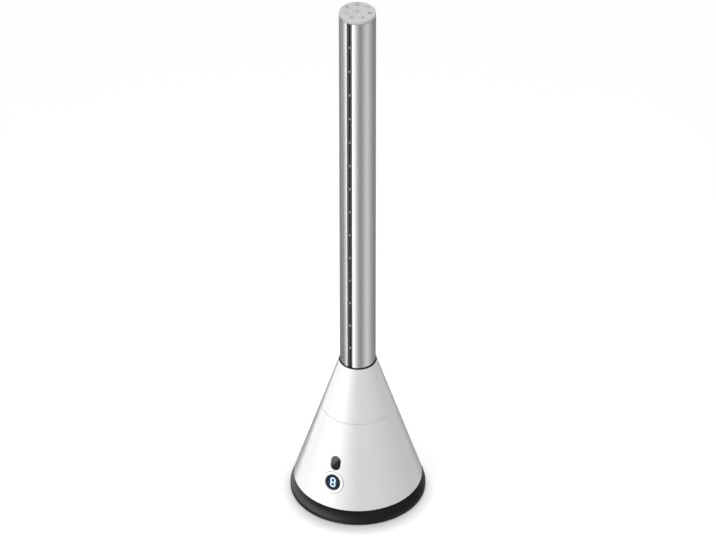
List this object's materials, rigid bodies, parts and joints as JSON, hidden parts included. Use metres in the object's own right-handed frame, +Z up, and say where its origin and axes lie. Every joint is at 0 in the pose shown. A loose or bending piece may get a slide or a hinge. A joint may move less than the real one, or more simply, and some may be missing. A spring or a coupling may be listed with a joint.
{
  "type": "bladeless column fan",
  "caption": "Free-standing bladeless fan: a slotted aluminium column on a white cone with a display, turning on a black flared base, with push keys in its top cap.",
  "frame": {"origin": "on the floor, under the middle of the round base", "axes": "+Z up along the column, -Y towards the front with the slot and the display, +X to the right of someone who faces it"},
  "size_m": [0.23, 0.23, 0.96],
  "materials": {
    "white_gloss": "glossy moulded shell",
    "black_satin": "satin moulded plastic",
    "grey_satin": "satin moulded plastic",
    "black_gloss": "polished tinted plastic",
    "satin_aluminium": "satin, drawn along the column",
    "steel": "zinc plated",
    "iron": "rough cast",
    "black_rubber": "matt",
    "natural_plastic": "unpainted slippery plastic",
    "circuit_board": "lacquered laminate with soldered parts",
    "filter_foam": "open foam",
    "lit_figure": "lit figure behind the lens"
  },
  "bodies": {
    "base": {"base_housing": "black_satin", "base_plate": "black_satin", "ballast_ring": "iron", "foot_1": "black_rubber", "foot_2": "black_rubber", "foot_3": "black_rubber", "foot_4": "black_rubber", "foot_5": "black_rubber", "foot_6": "black_rubber", "base_screw_1": "steel", "base_screw_2": "steel", "base_screw_3": "steel", "base_screw_4": "steel", "cord_gland": "black_rubber", "ring_gear": "natural_plastic", "glide_ring": "natural_plastic"},
    "tower": {"turntable": "black_satin", "retaining_ring": "steel", "lower_cone": "white_gloss", "upper_cone": "white_gloss", "collar": "black_rubber", "intake_filter": "filter_foam", "column_tube": "satin_aluminium", "slot_insert": "grey_satin", "top_cap": "grey_satin", "key_board": "circuit_board", "display_bezel": "white_gloss", "display_lens": "black_gloss", "digit_module": "lit_figure", "remote_window": "black_gloss", "remote_receiver": "black_satin", "control_board": "circuit_board", "power_board": "circuit_board", "key_cable": "black_satin", "fan_chassis": "black_satin", "inlet_ring": "black_satin", "diffuser": "black_satin", "fan_motor": "steel", "motor_cover": "black_satin", "air_duct": "black_satin", "drive_motor": "steel"},
    "rotor": {"impeller": "natural_plastic", "motor_shaft": "steel", "impeller_nut": "steel"},
    "drive_pinion": {"pinion": "natural_plastic"},
    "key_centre_body": {"key_centre": "grey_satin"},
    "key_1_body": {"key_1": "grey_satin"},
    "key_2_body": {"key_2": "grey_satin"},
    "key_3_body": {"key_3": "grey_satin"},
    "key_4_body": {"key_4": "grey_satin"},
    "key_5_body": {"key_5": "grey_satin"},
    "key_6_body": {"key_6": "grey_satin"},
    "key_7_body": {"key_7": "grey_satin"}
  },
  "joints": [
    {"name": "tower_swing", "type": "hinge", "parent": "base", "child": "tower", "pos_m": [0, 0, 0.022], "axis": [0, 0, 1], "range_deg": [-40, 40]},
    {"name": "impeller_spin", "type": "hinge", "parent": "tower", "child": "rotor", "pos_m": [0, 0, 0.1098], "axis": [0, 0, 1], "continuous": true},
    {"name": "pinion_spin", "type": "hinge", "parent": "tower", "child": "drive_pinion", "pos_m": [-0.04, 0, 0.0216], "axis": [0, 0, 1], "range_deg": [-165, 165]},
    {"name": "press_centre", "type": "slide", "parent": "tower", "child": "key_centre_body", "axis": [0, 0, -1], "range_m": [0, 0.0006], "stiffness_N_per_m": 800},
    {"name": "press_1", "type": "slide", "parent": "tower", "child": "key_1_body", "axis": [0, 0, -1], "range_m": [0, 0.0006], "stiffness_N_per_m": 800},
    {"name": "press_2", "type": "slide", "parent": "tower", "child": "key_2_body", "axis": [0, 0, -1], "range_m": [0, 0.0006], "stiffness_N_per_m": 800},
    {"name": "press_3", "type": "slide", "parent": "tower", "child": "key_3_body", "axis": [0, 0, -1], "range_m": [0, 0.0006], "stiffness_N_per_m": 800},
    {"name": "press_4", "type": "slide", "parent": "tower", "child": "key_4_body", "axis": [0, 0, -1], "range_m": [0, 0.0006], "stiffness_N_per_m": 800},
    {"name": "press_5", "type": "slide", "parent": "tower", "child": "key_5_body", "axis": [0, 0, -1], "range_m": [0, 0.0006], "stiffness_N_per_m": 800},
    {"name": "press_6", "type": "slide", "parent": "tower", "child": "key_6_body", "axis": [0, 0, -1], "range_m": [0, 0.0006], "stiffness_N_per_m": 800},
    {"name": "press_7", "type": "slide", "parent": "tower", "child": "key_7_body", "axis": [0, 0, -1], "range_m": [0, 0.0006], "stiffness_N_per_m": 800}
  ],
  "couplings": [
    {"joint": "pinion_spin", "follows": "tower_swing", "ratio": 4}
  ]
}
